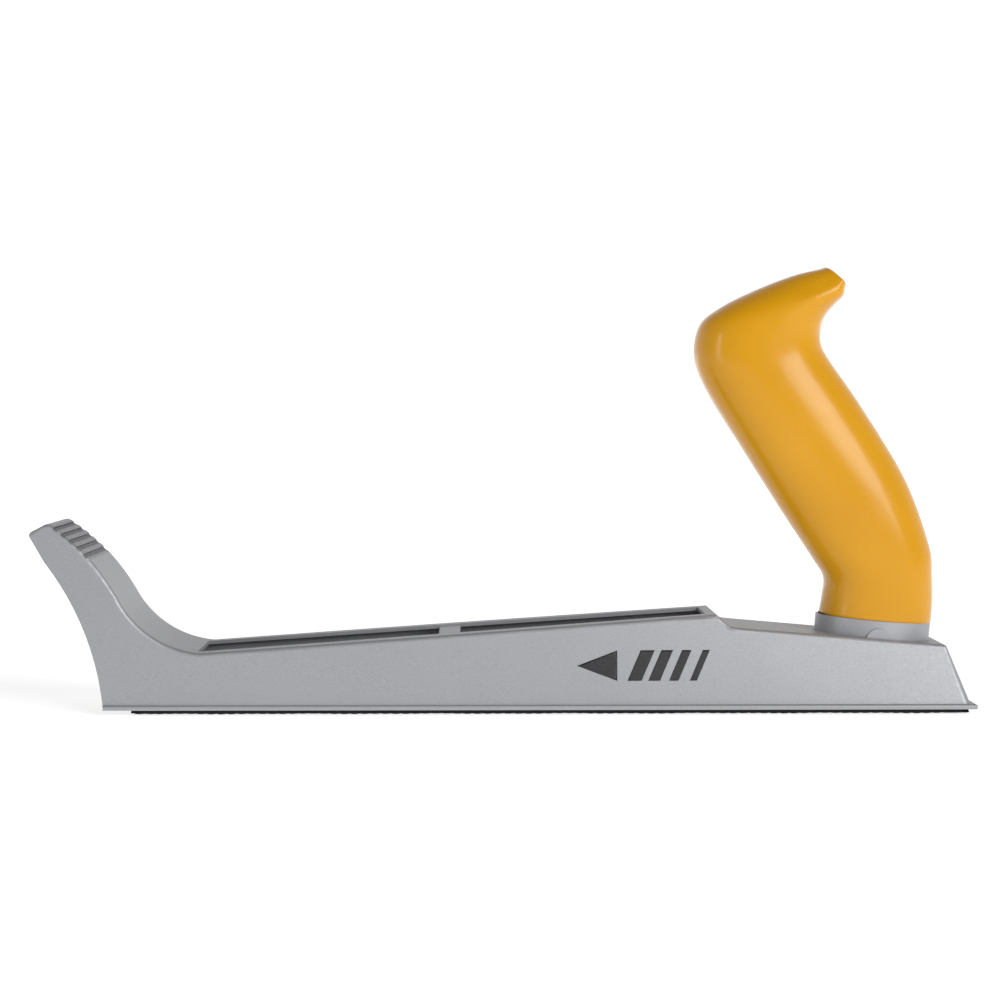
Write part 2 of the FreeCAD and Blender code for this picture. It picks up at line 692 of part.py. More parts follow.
def thumb_nut():
    """A nut with a straight-knurled rim and a plain hub against the thrust washer."""
    back = "bulkhead_front_x - thrust_thickness - screw_gap"
    hub = rod("nut_hub", "x", (f"{back} - nut_length", "0", "stud_z"), "nut_hub_radius",
              "nut_length")
    rim = rod("nut_rim", "x", (f"{back} - nut_length + nut_front_step", "0", "stud_z"),
              "nut_radius", "nut_length - nut_front_step - nut_back_step")
    centre = "(nut_radius + knurl_proud)"
    flutes = []
    count = int(size("knurl_count"))
    for index in range(count):
        angle = 360 / count * index
        place = (f"{back} - nut_length - through", f"{centre} * cos({angle} deg)",
                 f"stud_z + {centre} * sin({angle} deg)")
        flutes.append(rod(f"flute_{index}", "x", place, "knurl_radius",
                          "nut_length + 2 * through"))
    hole = rod("nut_hole", "x", (f"{back} - nut_length - through", "0", "stud_z"),
               "stud_radius + screw_gap", "nut_length + 2 * through")
    return named(cut("nut", fuse("nut_blank", hub, rim), hole, *flutes), "thumb_nut")


def hook_return_spring():
    """A compression spring round the stud, as the sleeve that its coils fill."""
    length = "claw_x - bulkhead_back_x - 2 * spring_gap"
    return named(ring("spring", "bulkhead_back_x + spring_gap", "spring_radius + spring_wire",
                      "spring_radius - spring_wire", length), "hook_return_spring")


# ---------------------------------------------------------------- the handle

def grip_blank():
    """A loft through the grip's oval sections, from its base to the beak."""
    ovals = []
    for index in range(len(GRIP_SECTIONS)):
        front_x, front_z = f"grip_front_x_{index}", f"grip_front_z_{index}"
        back_x, back_z = f"grip_back_x_{index}", f"grip_back_z_{index}"
        oval = doc.addObject("Part::Ellipse", f"grip_oval_{index}")
        dx = float(sheet.get(back_x)) - float(sheet.get(front_x))
        dz = float(sheet.get(back_z)) - float(sheet.get(front_z))
        lean = math.degrees(math.atan2(dz, dx))
        oval.Placement = FreeCAD.Placement(V(), FreeCAD.Rotation(V(0, 1, 0), -lean))
        bind(oval, MajorRadius=f"sqrt(({back_x} - {front_x})^2 + ({back_z} - {front_z})^2) / 2",
             MinorRadius=f"grip_half_{index}",
             Placement__Base__x=f"({front_x} + {back_x}) / 2",
             Placement__Base__z=f"({front_z} + {back_z}) / 2")
        ovals.append(oval)
    loft = doc.addObject("Part::Loft", "grip_loft")
    loft.Sections = ovals
    loft.Solid = True
    loft.Ruled = False
    return loft


def handle_grip():
    """The moulded grip, with the spigot's shank and pin moulded in."""
    base = "collar_height + washer_gap + friction_thickness"
    trim = collar_oval("grip_trim", "-trim_depth", base, "collar_major + trim_margin",
                       "collar_minor + trim_margin")
    shank = collar_rod("grip_socket", "0", "shank_top", "shank_radius")
    pin = cross_rod("grip_pin_hole", "pin_height", "-pin_half", "pin_half", "pin_radius")
    return named(cut("grip", grip_blank(), trim, shank, pin), "handle_grip")


def handle_spigot():
    """The pivot: a journal in the collar, a shank in the grip, a groove for the lock pad."""
    base = "collar_height + washer_gap + friction_thickness"
    journal = collar_rod("journal", "spigot_end", base, "spigot_radius")
    shank = collar_rod("shank", base, "shank_top", "shank_radius")
    ring_blank = collar_rod("lock_groove_blank", "lock_height - groove_half",
                            "lock_height + groove_half", "spigot_radius + through")
    ring_core = collar_rod("lock_groove_core", "lock_height - groove_half - through",
                           "lock_height + groove_half + through", "groove_radius")
    groove = cut("lock_groove", ring_blank, ring_core)
    tapped = collar_rod("spigot_tapping", "spigot_end - through",
                        "spigot_end + tapped_depth", "tapped_radius")
    pin = cross_rod("spigot_pin_hole", "pin_height", "-pin_half", "pin_half", "pin_radius")
    return named(cut("spigot", fuse("spigot_blank", journal, shank), groove, tapped, pin),
                 "handle_spigot")


def spigot_cross_pin():
    return named(cross_rod("pin", "pin_height", "-pin_half", "pin_half", "pin_radius"),
                 "spigot_cross_pin")


def friction_washer():
    """A thin oval ring between the collar and the grip."""
    low = "collar_height + washer_gap"
    blank = collar_oval("friction_blank", low, f"{low} + friction_thickness",
                        "friction_major", "friction_minor")
    hole = collar_rod("friction_hole", f"{low} - through",
                      f"{low} + friction_thickness + through", "spigot_radius")
    return named(cut("friction_ring", blank, hole), "friction_washer")


def collar_washer(label, high, outer, thickness):
    """A round washer on the collar's axis, just below a height."""
    blank = collar_rod(label + "_blank", f"{high} - ({thickness})", high, outer)
    hole = collar_rod(label + "_hole", f"{high} - ({thickness}) - through",
                      f"{high} + through", "tapped_radius")
    return cut(label + "_ring", blank, hole)


def bolt_washer():
    return named(collar_washer("flat", "spigot_end", "flat_washer_radius",
                               "flat_washer_thickness"), "bolt_washer")


def spring_washer():
    return named(collar_washer("split", "spigot_end - flat_washer_thickness",
                               "spring_washer_radius", "spring_washer_thickness"),
                 "spring_washer")


def handle_bolt():
    """A hexagon bolt that holds the spigot up in the collar."""
    seat = "spigot_end - flat_washer_thickness - spring_washer_thickness"
    head = doc.addObject("Part::Prism", "bolt_head")
    head.Polygon = 6
    bind(head, Circumradius="bolt_head_radius", Height="bolt_head_height")
    on_collar(head, f"{seat} - bolt_head_height")
    shank = collar_rod("bolt_shank", f"{seat} - through", f"{seat} + bolt_length",
                       "tapped_radius")
    return named(fuse("bolt", head, shank), "handle_bolt")


# ---------------------------------------------------------------- the lock

def lock_pad():
    return named(cross_rod("pad", "lock_height", "pad_tip_y", "pad_end_y", "lock_radius"),
                 "lock_pad")


def lock_screw():
    """A socket set screw flush with the collar's far side."""
    blank = cross_rod("lock_blank", "lock_height", "pad_end_y", "lock_end_y", "lock_radius")
    socket = doc.addObject("Part::Prism", "lock_socket")
    socket.Polygon = 6
    bind(socket, Circumradius="hex_socket / sqrt(3)", Height="socket_depth + through")
    on_collar(socket, "lock_height", "lock_end_y - socket_depth")
    socket.Placement.Rotation = FreeCAD.Rotation(V(1, 0, 0), -90)
    return named(cut("lock", blank, socket), "lock_screw")


# ---------------------------------------------------------------- build and export

def build():
    """Make every sub-part and return them."""
    return [make() for make in (
        body_casting, rasp_blade, rear_blade_catch, catch_screw_left, catch_screw_right,
        blade_hook, hook_stud, stud_rivet_washer, thrust_washer, thumb_nut,
        hook_return_spring, handle_grip, handle_spigot, spigot_cross_pin, friction_washer,
        bolt_washer, spring_washer, handle_bolt, lock_pad, lock_screw)]


def check_document():
    """Stop if any object of the document failed to recompute."""
    for thing in doc.Objects:
        if {"Invalid", "Error"} & set(thing.State):
            raise RuntimeError(f"{thing.Label} failed: {thing.State}")


def export(parts):
    """Check each sub-part and write it to its own file."""
    for part in parts:
        if part.Shape.isNull() or not part.Shape.isValid() or not part.Shape.Solids:
            raise RuntimeError(f"{part.Label} is not a valid solid")
    os.makedirs("parts", exist_ok=True)
    for part in parts:
        part.Shape.exportStep(f"parts/{part.Label}.step")
        bounds = part.Shape.BoundBox
        print(f"{part.Label:20s} solids {len(part.Shape.Solids)} volume {part.Shape.Volume:9.1f}"
              f" X {bounds.XMin:.1f}..{bounds.XMax:.1f} Y {bounds.YMin:.1f}..{bounds.YMax:.1f}"
              f" Z {bounds.ZMin:.1f}..{bounds.ZMax:.1f}")


fill_sheet()
sub_parts = build()
doc.recompute()
check_document()
export(sub_parts)
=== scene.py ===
import json
import math

import bmesh
import bpy
from mathutils import Matrix, Vector
from mathutils.bvhtree import BVHTree


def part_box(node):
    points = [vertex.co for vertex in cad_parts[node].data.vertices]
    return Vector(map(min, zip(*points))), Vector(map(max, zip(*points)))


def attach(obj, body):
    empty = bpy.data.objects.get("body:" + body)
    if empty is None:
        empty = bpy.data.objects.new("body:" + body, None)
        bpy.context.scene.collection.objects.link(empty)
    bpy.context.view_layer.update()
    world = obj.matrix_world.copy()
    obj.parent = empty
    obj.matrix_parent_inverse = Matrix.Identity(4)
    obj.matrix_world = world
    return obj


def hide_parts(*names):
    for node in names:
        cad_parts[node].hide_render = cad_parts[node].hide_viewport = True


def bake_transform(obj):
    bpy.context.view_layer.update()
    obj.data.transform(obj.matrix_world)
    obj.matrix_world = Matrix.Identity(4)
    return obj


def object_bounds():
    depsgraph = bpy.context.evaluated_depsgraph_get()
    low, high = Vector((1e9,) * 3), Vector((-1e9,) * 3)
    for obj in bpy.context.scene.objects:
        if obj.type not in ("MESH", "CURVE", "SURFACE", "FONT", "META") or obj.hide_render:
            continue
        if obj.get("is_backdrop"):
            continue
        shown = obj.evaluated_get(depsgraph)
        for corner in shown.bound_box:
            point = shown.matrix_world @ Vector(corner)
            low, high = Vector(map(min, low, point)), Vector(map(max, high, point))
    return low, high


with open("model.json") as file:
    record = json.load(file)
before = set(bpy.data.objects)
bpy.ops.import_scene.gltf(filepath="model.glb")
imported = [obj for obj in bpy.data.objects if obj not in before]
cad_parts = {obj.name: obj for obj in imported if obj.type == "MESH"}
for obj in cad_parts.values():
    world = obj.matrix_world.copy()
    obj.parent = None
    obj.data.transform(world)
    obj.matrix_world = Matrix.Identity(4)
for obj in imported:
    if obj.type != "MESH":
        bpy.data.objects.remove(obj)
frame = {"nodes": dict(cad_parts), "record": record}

# The looks of a rasp plane. Lengths are in metres in the CAD's own frame: +X towards the
# handle, +Z up, and the near side faces -Y.

CAD_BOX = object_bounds()
MM = 0.001
FRONT_LEVEL, TOP_LEVEL = 0.34, 0.20  # the surround's brightness in front and overhead
TABLE_GLOW, FAR_GLOW = 0.70, 1.1     # how brightly the table shines under the work and far off
GLOW_NEAR, GLOW_FAR = 0.15, 0.9      # where behind the work the glow starts and stops rising

BLADE_LOW, BLADE_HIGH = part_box("rasp_blade")

# The horn's crown is an arc about this centre, and its thumb pad has evenly spaced grooves.
CROWN_RADIUS = 64.0 * MM
CROWN_FRONT, CROWN_BACK = Vector((-135.2 * MM, 57.1 * MM)), Vector((-114.2 * MM, 34.7 * MM))
CROWN_CHORD = CROWN_BACK - CROWN_FRONT
CROWN_X, CROWN_Z = ((CROWN_FRONT + CROWN_BACK) / 2
                    + Vector((CROWN_CHORD.y, -CROWN_CHORD.x)).normalized()
                    * math.sqrt(CROWN_RADIUS ** 2 - (CROWN_CHORD.length / 2) ** 2))
PAD_START = (math.atan2(CROWN_FRONT.x - CROWN_X, CROWN_FRONT.y - CROWN_Z)
             + 1.2 * MM / CROWN_RADIUS)
PAD_LENGTH, PAD_DEPTH = 15.5 * MM, 0.9 * MM
GROOVE_START, GROOVE_PITCH, GROOVE_WIDTH, GROOVE_COUNT = 1.1 * MM, 3.0 * MM, 1.5 * MM, 5
HATCH_PITCH = 0.9 * MM


# ---------------------------------------------------------------- material helpers

class Shader:
    """A material's node tree with short calls to grow it."""

    def __init__(self, name):
        self.material = bpy.data.materials.new(name)
        self.material.use_nodes = True
        self.tree = self.material.node_tree
        self.tree.nodes.clear()
        self.surface = self.node("ShaderNodeBsdfPrincipled")
        output = self.node("ShaderNodeOutputMaterial")
        self.link(self.surface.outputs["BSDF"], output.inputs["Surface"])
        self.place = self.node("ShaderNodeTexCoord").outputs["Object"]

    def node(self, kind, **settings):
        made = self.tree.nodes.new(kind)
        for key, value in settings.items():
            setattr(made, key, value)
        return made

    def link(self, source, target):
        self.tree.links.new(source, target)

    def set(self, **values):
        """Set the shader's own sockets; an underscore stands for a space."""
        for key, value in values.items():
            self.surface.inputs[key.replace("_", " ")].default_value = value

    def stretched(self, scale):
        """The object's place, stretched along its axes."""
        mapping = self.node("ShaderNodeMapping")
        mapping.inputs["Scale"].default_value = scale
        self.link(self.place, mapping.inputs["Vector"])
        return mapping.outputs["Vector"]

    def noise(self, size, detail=3.0, rough=0.55, place=None):
        """Noise whose blobs are about a size across."""
        made = self.node("ShaderNodeTexNoise")
        made.inputs["Scale"].default_value = 1 / size
        made.inputs["Detail"].default_value = detail
        made.inputs["Roughness"].default_value = rough
        self.link(place or self.place, made.inputs["Vector"])
        return made.outputs["Fac"]

    def spots(self, size):
        """Distance to scattered points about a size apart."""
        made = self.node("ShaderNodeTexVoronoi")
        made.inputs["Scale"].default_value = 1 / size
        self.link(self.place, made.inputs["Vector"])
        return made.outputs["Distance"]

    def ramp(self, source, low, high, start, end):
        """Map a value from low..high to start..end, held outside."""
        made = self.node("ShaderNodeMapRange")
        for name, value in zip(("From Min", "From Max", "To Min", "To Max"),
                               (low, high, start, end)):
            made.inputs[name].default_value = value
        self.link(source, made.inputs["Value"])
        return made.outputs["Result"]

    def math(self, operation, first, second=0.0):
        """A sum on one or two values, each a number or an output."""
        made = self.node("ShaderNodeMath", operation=operation)
        for socket, value in zip(made.inputs, (first, second)):
            if isinstance(value, (int, float)):
                socket.default_value = value
            else:
                self.link(value, socket)
        return made.outputs["Value"]

    def blend(self, share, first, second):
        """Mix two colours, each a tuple or an output, by a share."""
        made = self.node("ShaderNodeMix", data_type="RGBA")
        self.link(share, made.inputs["Factor"])
        for socket, value in ((made.inputs[6], first), (made.inputs[7], second)):
            if isinstance(value, tuple):
                socket.default_value = (*value, 1)
            else:
                self.link(value, socket)
        return made.outputs[2]

    def axes(self):
        """The place's X, Y and Z as separate outputs."""
        made = self.node("ShaderNodeSeparateXYZ")
        self.link(self.place, made.inputs["Vector"])
        return made.outputs

    def bump(self, *layers):
        """Stack bump layers, each (height output, depth in metres)."""
        normal = None
        for source, depth in layers:
            made = self.node("ShaderNodeBump")
            made.inputs["Strength"].default_value = 1.0
            made.inputs["Distance"].default_value = depth
            self.link(source, made.inputs["Height"])
            if normal:
                self.link(normal, made.inputs["Normal"])
            normal = made.outputs["Normal"]
        self.link(normal, self.surface.inputs["Normal"])

    def colour(self, output):
        self.link(output, self.surface.inputs["Base Color"])

    def roughness(self, output):
        self.link(output, self.surface.inputs["Roughness"])


def silver_paint():
    """Fine metallic silver paint over a die casting, with painted shade in the thumb pad's
    grooves and hatching.
    """
    shader = Shader("silver_paint")
    flakes = shader.noise(0.35 * MM, detail=2.0)
    clouds = shader.noise(14 * MM, detail=4.0)
    fine = shader.blend(shader.ramp(flakes, 0.35, 0.65, 0, 1), (0.335, 0.340, 0.358),
                        (0.400, 0.406, 0.425))
    worn = shader.blend(shader.ramp(clouds, 0.3, 0.7, 0, 0.35), fine, (0.395, 0.400, 0.418))
    on_pad, groove_shade_mask, hatch = thumb_pad(shader)
    # Painted shade: the fine hatching darkens the pad's colour in stripes, standing in for the
    # shade in its serrations.
    ribbed = shader.blend(shader.math("MULTIPLY", on_pad, shader.ramp(hatch, -1, 1, 0, 0.5)),
                          worn, (0.200, 0.202, 0.210))
    # Painted shade: the pad's grooves are painted dark, standing in for the shade that falls in
    # the recesses.
    shader.colour(shader.blend(groove_shade_mask, ribbed, (0.150, 0.151, 0.157)))
    shader.set(Metallic=0.5)
    shader.roughness(shader.ramp(shader.noise(0.8 * MM), 0.3, 0.7, 0.42, 0.54))
    peel = shader.noise(2.2 * MM, detail=1.0)
    shader.bump((peel, 0.012 * MM), (flakes, 0.002 * MM),
                (shader.math("MULTIPLY", on_pad, hatch), 0.08 * MM))
    return shader.material


def thumb_pad(shader):
    """Where the horn's cross-ribbed pad is, where its grooves are, and its fine hatching; the
    paint darkens the grooves and the hatching as painted shade.
    """
    axes = shader.axes()
    across_x = shader.math("SUBTRACT", axes["X"], CROWN_X)
    across_z = shader.math("SUBTRACT", axes["Z"], CROWN_Z)
    reach = shader.math("POWER", shader.math("ADD", shader.math("POWER", across_x, 2.0),
                                             shader.math("POWER", across_z, 2.0)), 0.5)
    turn = shader.math("ARCTAN2", across_x, across_z)
    along = shader.math("MULTIPLY", shader.math("SUBTRACT", turn, PAD_START), CROWN_RADIUS)
    past_start = shader.ramp(along, 0.0, 0.2 * MM, 0, 1)
    before_end = shader.ramp(along, PAD_LENGTH, PAD_LENGTH + 0.2 * MM, 1, 0)
    near_top = shader.ramp(reach, CROWN_RADIUS - PAD_DEPTH, CROWN_RADIUS - PAD_DEPTH / 2, 0, 1)
    on_pad = shader.math("MULTIPLY", shader.math("MULTIPLY", past_start, before_end), near_top)
    steps = shader.math("DIVIDE", shader.math("SUBTRACT", along, GROOVE_START), GROOVE_PITCH)
    after_first = shader.ramp(steps, -0.02, 0.0, 0, 1)
    before_last = shader.ramp(steps, GROOVE_COUNT - 0.3, GROOVE_COUNT - 0.28, 1, 0)
    in_band = shader.ramp(shader.math("FRACT", steps), GROOVE_WIDTH / GROOVE_PITCH,
                          GROOVE_WIDTH / GROOVE_PITCH + 0.03, 1, 0)
    grooves = shader.math("MULTIPLY", shader.math("MULTIPLY", after_first, before_last), in_band)
    wave = shader.math("SINE", shader.math("MULTIPLY", axes["Y"], 2 * math.pi / HATCH_PITCH))
    return on_pad, shader.math("MULTIPLY", near_top, grooves), wave


def blackened_steel():
    """Black-finished steel, bare at the tooth points."""
    shader = Shader("blackened_steel")
    tips = shader.ramp(shader.axes()["Z"], 0.05 * MM, 0.35 * MM, 1, 0)
    patchy = shader.math("MULTIPLY", tips, shader.ramp(shader.noise(1.5 * MM), 0.45, 0.62, 0, 1))
    shader.colour(shader.blend(patchy, (0.006, 0.007, 0.009), (0.045, 0.046, 0.050)))
    shader.set(Metallic=0.2, Specular_IOR_Level=0.25)
    shader.roughness(shader.ramp(shader.noise(0.9 * MM), 0.3, 0.7, 0.50, 0.68))
    shader.bump((shader.noise(0.5 * MM), 0.012 * MM))
    return shader.material


def amber_plastic():
    """Glossy amber-yellow moulding."""
    shader = Shader("amber_plastic")
    clouds = shader.noise(22 * MM, detail=2.0)
    specks = shader.ramp(shader.spots(2.6 * MM), 0.02, 0.07, 1, 0)
    body = shader.blend(shader.ramp(clouds, 0.3, 0.7, 0, 1), (0.640, 0.295, 0.004),
                        (0.675, 0.318, 0.006))
    dust = shader.math("MULTIPLY", specks, shader.ramp(shader.noise(9 * MM), 0.55, 0.7, 0, 0.35))
    shader.colour(shader.blend(dust, body, (0.52, 0.22, 0.012)))
    shader.set(IOR=1.45, Specular_IOR_Level=0.40, Coat_Weight=0.06, Coat_Roughness=0.08)
    shader.roughness(shader.ramp(shader.noise(6 * MM, detail=4.0), 0.3, 0.7, 0.20, 0.28))
    wave = shader.noise(16 * MM, detail=1.0)
    grain = shader.noise(0.7 * MM, detail=2.0)
    shader.bump((wave, 0.10 * MM), (grain, 0.004 * MM))
    return shader.material


def plain_metal(name, dark, light, metallic, rough, brush):
    """Turned or plated metal with fine marks stretched round or along it."""
    shader = Shader(name)
    lines = shader.noise(0.25 * MM, detail=3.0, place=shader.stretched(brush))
    stain = shader.noise(2.5 * MM, detail=3.0)
    base = shader.blend(shader.ramp(lines, 0.3, 0.7, 0, 1), dark, light)
    shader.colour(shader.blend(shader.ramp(stain, 0.35, 0.75, 0, 0.4), base, dark))
    shader.set(Metallic=metallic)
    shader.roughness(shader.ramp(stain, 0.3, 0.7, rough, rough + 0.12))
    shader.bump((lines, 0.006 * MM))
    return shader.material


def fibre():
    """Dark vulcanised fibre with short hairs pressed in."""
    shader = Shader("fibre")
    hairs = shader.noise(0.4 * MM, detail=4.0, place=shader.stretched((0.25, 1, 1)))
    shader.colour(shader.blend(shader.ramp(hairs, 0.3, 0.7, 0, 1), (0.050, 0.018, 0.006),
                               (0.115, 0.045, 0.014)))
    shader.roughness(shader.ramp(hairs, 0.3, 0.7, 0.6, 0.8))
    shader.bump((hairs, 0.02 * MM))
    return shader.material


def print_ink():
    """Dark screen-printed ink with faint pinholes."""
    shader = Shader("print_ink")
    holes = shader.noise(0.5 * MM, detail=2.0)
    shader.colour(shader.blend(shader.ramp(holes, 0.35, 0.7, 0, 1), (0.012, 0.012, 0.014),
                               (0.030, 0.030, 0.033)))
    shader.roughness(shader.ramp(holes, 0.3, 0.7, 0.42, 0.55))
    shader.bump((holes, 0.004 * MM))
    return shader.material


def paper_floor():
    """A plain pale light table with the faintest mottle, brighter far behind the work."""
    shader = Shader("paper_floor")
    shader.link(shader.ramp(shader.axes()["Y"], GLOW_NEAR, GLOW_FAR, TABLE_GLOW, FAR_GLOW),
                shader.surface.inputs["Emission Strength"])
    shader.set(Emission_Color=(1, 1, 1, 1))
    shader.colour(shader.blend(shader.noise(60 * MM), (0.60, 0.60, 0.60), (0.64, 0.64, 0.64)))
    shader.roughness(shader.ramp(shader.noise(20 * MM), 0.3, 0.7, 0.85, 0.95))
    return shader.material


MATERIALS = {
    "cast_silver": silver_paint(),
    "blade_black": blackened_steel(),
    "zinc_plated": plain_metal("zinc_plated", (0.44, 0.45, 0.47), (0.62, 0.63, 0.66), 0.95,
                               0.26, (1, 0.2, 1)),
    "spring_steel": plain_metal("spring_steel", (0.26, 0.27, 0.29), (0.42, 0.43, 0.45), 0.95,
                                0.30, (1, 1, 0.3)),
    "brass_nut": plain_metal("brass", (0.55, 0.37, 0.14), (0.78, 0.58, 0.27), 0.95, 0.24,
                             (1, 0.2, 0.2)),
    "amber_plastic": amber_plastic(),
    "dark_fibre": fibre(),
    "black_screw": plain_metal("black_oxide", (0.018, 0.018, 0.020), (0.045, 0.045, 0.048),
                               0.7, 0.34, (1, 0.3, 1)),
}


# ---------------------------------------------------------------- mesh helpers

def piece(name, mesh, body, slot, replaced=(), material=None):
    """Put a mesh into the scene as a piece that rides on a body."""
    thing = bpy.data.objects.new(name, mesh)
    bpy.context.scene.collection.objects.link(thing)
    mesh.materials.append(material or MATERIALS[slot])
    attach(thing, body)
    if replaced:
        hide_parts(*replaced)
    return thing


def mesh_of(name, points, faces, smooth=True):
    """A mesh from points and faces, with its faces turned outwards."""
    mesh = bpy.data.meshes.new(name)
    mesh.from_pydata([tuple(point) for point in points], [], faces)
    work = bmesh.new()
    work.from_mesh(mesh)
    bmesh.ops.remove_doubles(work, verts=work.verts, dist=1e-7)
    bmesh.ops.recalc_face_normals(work, faces=work.faces)
    work.to_mesh(mesh)
    work.free()
    for polygon in mesh.polygons:
        polygon.use_smooth = smooth
    return mesh


def ring_faces(rings, count):
    """Quads between closed rings of the same number of points."""
    faces = []
    for row in range(rings - 1):
        for column in range(count):
            after = (column + 1) % count
            faces.append((row * count + column, row * count + after,
                          (row + 1) * count + after, (row + 1) * count + column))
    return faces


def grid_faces(rows, count):
    """Quads between open rows of the same number of points."""
    return [(i * count + j, (i + 1) * count + j, (i + 1) * count + j + 1, i * count + j + 1)
            for i in range(rows - 1) for j in range(count - 1)]


def loft(rings):
    """Points and faces through closed rings of the same length, with both ends closed."""
    count = len(rings[0])
    points = [point for ring in rings for point in ring]
    faces = ring_faces(len(rings), count)
    faces.append(tuple(range(count)))
    faces.append(tuple(range((len(rings) - 1) * count, len(rings) * count)))
    return points, faces


def curve_value(values, place):
    """A smooth curve through evenly spaced values, at a place in 0..len-1."""
    index = min(int(place), len(values) - 2)
    share = place - index
    before = values[max(index - 1, 0)]
    start, end = values[index], values[index + 1]
    after = values[min(index + 2, len(values) - 1)]
    return 0.5 * (2 * start + (end - before) * share
                  + (2 * before - 5 * start + 4 * end - after) * share ** 2
                  + (3 * start - before - 3 * end + after) * share ** 3)


# ---------------------------------------------------------------- the grip

# Cross-sections from the grip's base to the beak, in millimetres: front X, front Z, back X,
# back Z, half thickness, squareness, and how much thinner the front is than the middle.
GRIP = [
    (97.0, 29.2, 131.0, 26.3, 13.4, 2.1, 0.0),
    (97.9, 34.2, 131.4, 32.5, 13.7, 2.15, 0.0),
    (98.3, 39.6, 131.2, 40.4, 14.0, 2.25, 0.0),
    (95.0, 45.2, 130.2, 49.5, 14.3, 2.3, -0.02),
    (84.8, 60.6, 122.6, 69.8, 14.6, 2.35, -0.05),
    (72.6, 79.8, 109.2, 91.6, 14.6, 2.35, -0.08),
    (62.3, 96.5, 99.3, 105.8, 14.6, 2.35, -0.08),
    (58.6, 106.6, 96.7, 111.2, 14.5, 2.35, -0.04),
    (60.0, 116.0, 97.0, 116.6, 14.2, 2.35, 0.03),
    (66.0, 121.4, 98.6, 119.9, 13.7, 2.4, 0.10),
    (76.2, 126.6, 100.8, 122.6, 12.8, 2.6, 0.20),
    (88.0, 131.2, 103.0, 124.9, 11.4, 3.0, 0.24),
    (97.0, 133.4, 103.2, 127.2, 10.2, 3.4, 0.22),
]
GRIP_STEPS, GRIP_AROUND = 8, 64  # rings between two sections, and points round a ring
BASE_ROUND, BASE_RINGS = 1.1 * MM, 4
TIP_ROUND, TIP_RINGS = 1.0 * MM, 5


def oval_ring(front, back, half, squareness, lean, inset=0.0, lift=0.0):
    """A ring of points round an oval section, square to the grip's middle plane."""
    middle = (front + back) / 2
    along = (back - front).normalized()
    across = Vector((0, 1, 0))
    up = along.cross(across)
    reach = (back - front).length / 2 - inset
    ring = []
    for index in range(GRIP_AROUND):
        angle = 2 * math.pi * index / GRIP_AROUND
        c, s = math.cos(angle), math.sin(angle)
        along_share = math.copysign(abs(c) ** (2 / squareness), c)
        x = along_share * reach
        y = (math.copysign(abs(s) ** (2 / squareness), s) * (half - inset)
             * (1 + lean * along_share))
        ring.append(middle + along * x + across * y + up * lift)
    return ring


def grip_section(place):
    """The grip's section at a place along it, in metres."""
    values = [curve_value([row[column] for row in GRIP], place) for column in range(len(GRIP[0]))]
    front = Vector((values[0], 0, values[1])) * MM
    back = Vector((values[2], 0, values[3])) * MM
    return front, back, values[4] * MM, values[5], values[6]


def rounded_end(section, radius, steps, outward):
    """Rings that round an end over, from its edge towards its middle."""
    rings = []
    for step in range(1, steps + 1):
        angle = math.pi / 2 * step / steps
        inset, lift = radius * (1 - math.cos(angle)), radius * math.sin(angle)
        rings.append(oval_ring(*section, inset=inset, lift=outward * lift))
    return rings


def build_grip():
    """The moulded grip: oval sections lofted from the base to the beak."""
    last = len(GRIP) - 1
    sections = [grip_section(step / GRIP_STEPS) for step in range(last * GRIP_STEPS + 1)]
    rings = [oval_ring(*section) for section in sections]
    base = rounded_end(sections[0], BASE_ROUND, BASE_RINGS, -1)
    tip = rounded_end(sections[-1], TIP_ROUND, TIP_RINGS, 1)
    points, faces = loft(base[::-1] + rings + tip)
    return piece("grip_moulding", mesh_of("grip", points, faces), "handle", "amber_plastic",
                 ["handle_grip"])


# ---------------------------------------------------------------- the blade

SHEET = 0.6 * MM
SHEET_LOW = 0.42 * MM
TOOTH_X, TOOTH_Y = 3.05 * MM, 4.4 * MM
HOLE_LONG, HOLE_SHORT = 1.45 * MM, 0.62 * MM
HOLE_SLANT = math.radians(32)
CELL_COLUMNS, CELL_ROWS = 3, 4             # how finely a tooth's cell is divided
TOOTH_SHARES = (0.0, 0.45, 0.8, 1.0)       # rings of a tooth, from its cell to its slot
BEND, BEND_STEPS = 0.6 * MM, 5
END_MARGIN, SIDE_MARGIN = 10 * MM, 1.2 * MM  # plain sheet beyond the field of teeth
END_RAMP, END_RISE, END_STEPS = 2.2 * MM, 0.25 * MM, 4
BEAD = 0.40 * MM  # how far the beads along the blade's long edges stand down


def tooth_ring(share):
    """The outline of a tooth's cell, drawn in towards the slot by a share."""
    columns, rows = CELL_COLUMNS, CELL_ROWS
    outline = [(-0.5 + step / columns, -0.5) for step in range(columns)]
    outline += [(0.5, -0.5 + step / rows) for step in range(rows)]
    outline += [(0.5 - step / columns, 0.5) for step in range(columns)]
    outline += [(-0.5, 0.5 - step / rows) for step in range(rows)]
    turn = Matrix.Rotation(-HOLE_SLANT, 2)
    ring = []
    for x, y in outline:
        cell = Vector((x * TOOTH_X, y * TOOTH_Y))
        angle = math.atan2(cell.y / HOLE_LONG, cell.x / HOLE_SHORT)
        hole = turn @ Vector((math.cos(angle) * HOLE_SHORT, math.sin(angle) * HOLE_LONG))
        flat = cell.lerp(hole, share)
        behind = max(0.0, math.cos(angle)) ** 0.7
        drop = SHEET_LOW * behind * share ** 2
        ring.append((flat, drop))
    return ring


def tooth_cell(centre):
    """One pressed tooth: a slot whose rear edge is pushed down to a cutting point."""
    rings = [tooth_ring(share) for share in TOOTH_SHARES]
    points = []
    for ring in rings:
        points += [Vector((centre.x + flat.x, centre.y + flat.y, SHEET_LOW - drop))
                   for flat, drop in ring]
    return points, ring_faces(len(rings), len(rings[0]))


